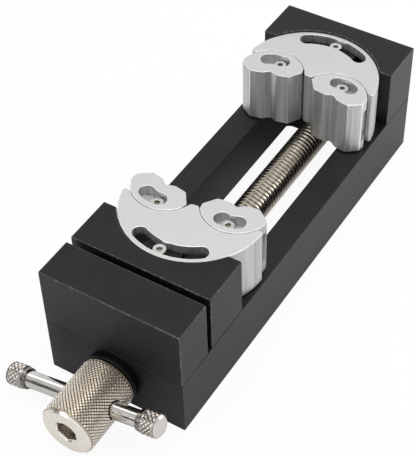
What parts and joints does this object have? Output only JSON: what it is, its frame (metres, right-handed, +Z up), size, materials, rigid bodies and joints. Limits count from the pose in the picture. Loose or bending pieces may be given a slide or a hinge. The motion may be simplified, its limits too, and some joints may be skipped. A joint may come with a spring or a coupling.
{
  "type": "self-aligning fractal vise",
  "caption": "Small screw vise with a slotted base, a sliding jaw block and a fixed one, half-disc swivel jaws that carry swivelling notched pad jaws, and a knurled knob with a tommy bar.",
  "frame": {"origin": "centre of the base's underside, where it stands on the bench", "axes": "+Z up; +Y along the lead screw from the knob to the rear jaw block; +X to the right, seen from the knob"},
  "size_m": [0.0521, 0.16, 0.04],
  "materials": {
    "black_anodised": "black anodised, satin",
    "silver_aluminium": "bead-blasted, clear anodised",
    "nickel_steel": "nickel-plated, knurled or threaded",
    "polished_steel": "polished",
    "steel": "turned",
    "black_oxide": "black oxide",
    "bronze": "sintered"
  },
  "bodies": {
    "frame": {"base": "black_anodised", "front_block": "black_anodised", "rear_jaw_block": "black_anodised", "front_block_bolts": "black_oxide", "rear_block_bolts": "black_oxide", "front_bush": "black_oxide", "rear_bush": "bronze", "rear_stop_screw": "steel"},
    "screw": {"lead_screw": "nickel_steel", "thrust_collar": "steel", "knob": "nickel_steel", "knob_set_screw": "black_oxide"},
    "bar": {"tommy_bar": "polished_steel", "tommy_end_left": "nickel_steel", "tommy_end_right": "nickel_steel"},
    "moving_jaw": {"moving_jaw_block": "black_anodised", "slide_nut": "steel", "nut_bolts": "black_oxide", "front_stop_screw": "steel"},
    "front_swivel": {"swivel_jaw_front": "silver_aluminium", "front_pad_screws": "steel"},
    "rear_swivel": {"swivel_jaw_rear": "silver_aluminium", "rear_pad_screws": "steel"},
    "front_left_pad": {"pad_front_left": "silver_aluminium"},
    "front_right_pad": {"pad_front_right": "silver_aluminium"},
    "rear_left_pad": {"pad_rear_left": "silver_aluminium"},
    "rear_right_pad": {"pad_rear_right": "silver_aluminium"}
  },
  "joints": [
    {"name": "screw_spin", "type": "hinge", "parent": "frame", "child": "screw", "pos_m": [0, -0.06825, 0.011], "axis": [0, 1, 0], "range_deg": [-435, 11525]},
    {"name": "jaw_slide", "type": "slide", "parent": "frame", "child": "moving_jaw", "axis": [0, 1, 0], "range_m": [-0.0018, 0.048]},
    {"name": "bar_slide", "type": "slide", "parent": "screw", "child": "bar", "axis": [0.9799, 0, 0.1994], "range_m": [-0.0078, 0.013]},
    {"name": "front_swivel_turn", "type": "hinge", "parent": "moving_jaw", "child": "front_swivel", "pos_m": [0, -0.02525, 0.03], "axis": [0, 0, 1], "range_deg": [-36.5, 23.5]},
    {"name": "rear_swivel_turn", "type": "hinge", "parent": "frame", "child": "rear_swivel", "pos_m": [0, 0.04025, 0.03], "axis": [0, 0, 1], "range_deg": [-29.2, 30.8]},
    {"name": "front_left_pad_turn", "type": "hinge", "parent": "front_swivel", "child": "front_left_pad", "pos_m": [-0.01144, -0.02202, 0.03], "axis": [0, 0, 1], "range_deg": [-5.5, 37.5]},
    {"name": "front_right_pad_turn", "type": "hinge", "parent": "front_swivel", "child": "front_right_pad", "pos_m": [0.01042, -0.01953, 0.03], "axis": [0, 0, 1], "range_deg": [-25, 18]},
    {"name": "rear_left_pad_turn", "type": "hinge", "parent": "rear_swivel", "child": "rear_left_pad", "pos_m": [-0.01106, 0.0359, 0.03], "axis": [0, 0, 1], "range_deg": [-36, 7]},
    {"name": "rear_right_pad_turn", "type": "hinge", "parent": "rear_swivel", "child": "rear_right_pad", "pos_m": [0.01094, 0.0356, 0.03], "axis": [0, 0, 1], "range_deg": [-14.5, 28.5]}
  ],
  "couplings": [
    {"joint": "screw_spin", "follows": "jaw_slide", "rad_per_m": 4188.8}
  ]
}
